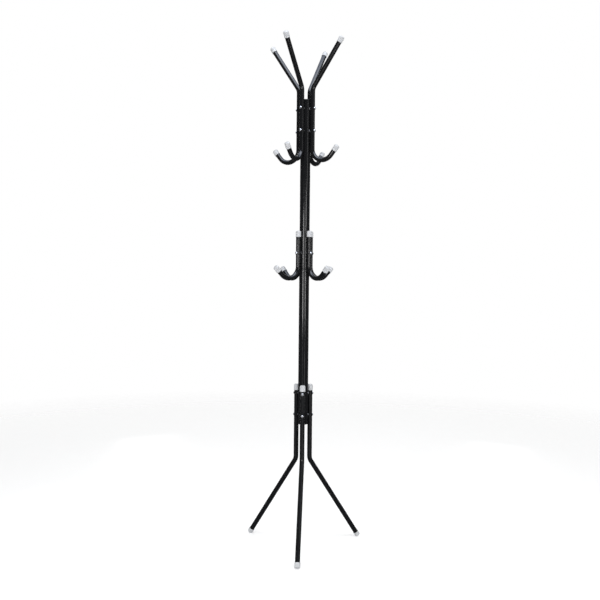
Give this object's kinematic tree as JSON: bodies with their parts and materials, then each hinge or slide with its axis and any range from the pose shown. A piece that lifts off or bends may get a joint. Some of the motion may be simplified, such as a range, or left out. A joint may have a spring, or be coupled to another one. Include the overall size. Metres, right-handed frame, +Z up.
{
  "type": "standing coat rack",
  "caption": "Free-standing coat rack: a slim black tube pole on splayed legs, with tall arms that end in hooks, shorter hooks lower down, and white end caps.",
  "frame": {"origin": "the point of the floor under the pole, on the pole's axis", "axes": "+Z up along the pole; -Y towards the front leg; +X to the right as seen from the front"},
  "size_m": [0.3948, 0.3543, 1.7],
  "materials": {
    "black_paint": "glossy black powder coat on steel tube",
    "white_plastic": "soft white polyethylene, satin, slightly translucent",
    "black_plastic": "satin black polyethylene",
    "screw_zinc": "bright zinc-plated steel",
    "nut_zinc": "dull zinc-plated steel"
  },
  "bodies": {
    "root": {"upper_pole": "black_paint", "lower_pole": "black_paint", "pole_top_plug": "black_plastic", "pole_bottom_plug": "black_plastic", "upper_arm_front_right": "black_paint", "upper_arm_back_right": "black_paint", "upper_arm_back_left": "black_paint", "upper_arm_front_left": "black_paint", "arm_tip_cap_front_right": "white_plastic", "arm_tip_cap_back_right": "white_plastic", "arm_tip_cap_back_left": "white_plastic", "arm_tip_cap_front_left": "white_plastic", "arm_hook_cap_front_right": "white_plastic", "arm_hook_cap_back_right": "white_plastic", "arm_hook_cap_back_left": "white_plastic", "arm_hook_cap_front_left": "white_plastic", "upper_arm_screws": "screw_zinc", "upper_arm_rivet_nuts": "nut_zinc", "lower_hook_front_right": "black_paint", "lower_hook_back_right": "black_paint", "lower_hook_back_left": "black_paint", "lower_hook_front_left": "black_paint", "hook_top_cap_front_right": "white_plastic", "hook_top_cap_back_right": "white_plastic", "hook_top_cap_back_left": "white_plastic", "hook_top_cap_front_left": "white_plastic", "hook_end_cap_front_right": "white_plastic", "hook_end_cap_back_right": "white_plastic", "hook_end_cap_back_left": "white_plastic", "hook_end_cap_front_left": "white_plastic", "lower_hook_screws": "screw_zinc", "lower_hook_rivet_nuts": "nut_zinc", "leg_front": "black_paint", "leg_back_right": "black_paint", "leg_back_left": "black_paint", "leg_top_cap_front": "white_plastic", "leg_top_cap_back_right": "white_plastic", "leg_top_cap_back_left": "white_plastic", "foot_cap_front": "white_plastic", "foot_cap_back_right": "white_plastic", "foot_cap_back_left": "white_plastic", "leg_screws": "screw_zinc", "leg_rivet_nuts": "nut_zinc"}
  },
  "joints": []
}
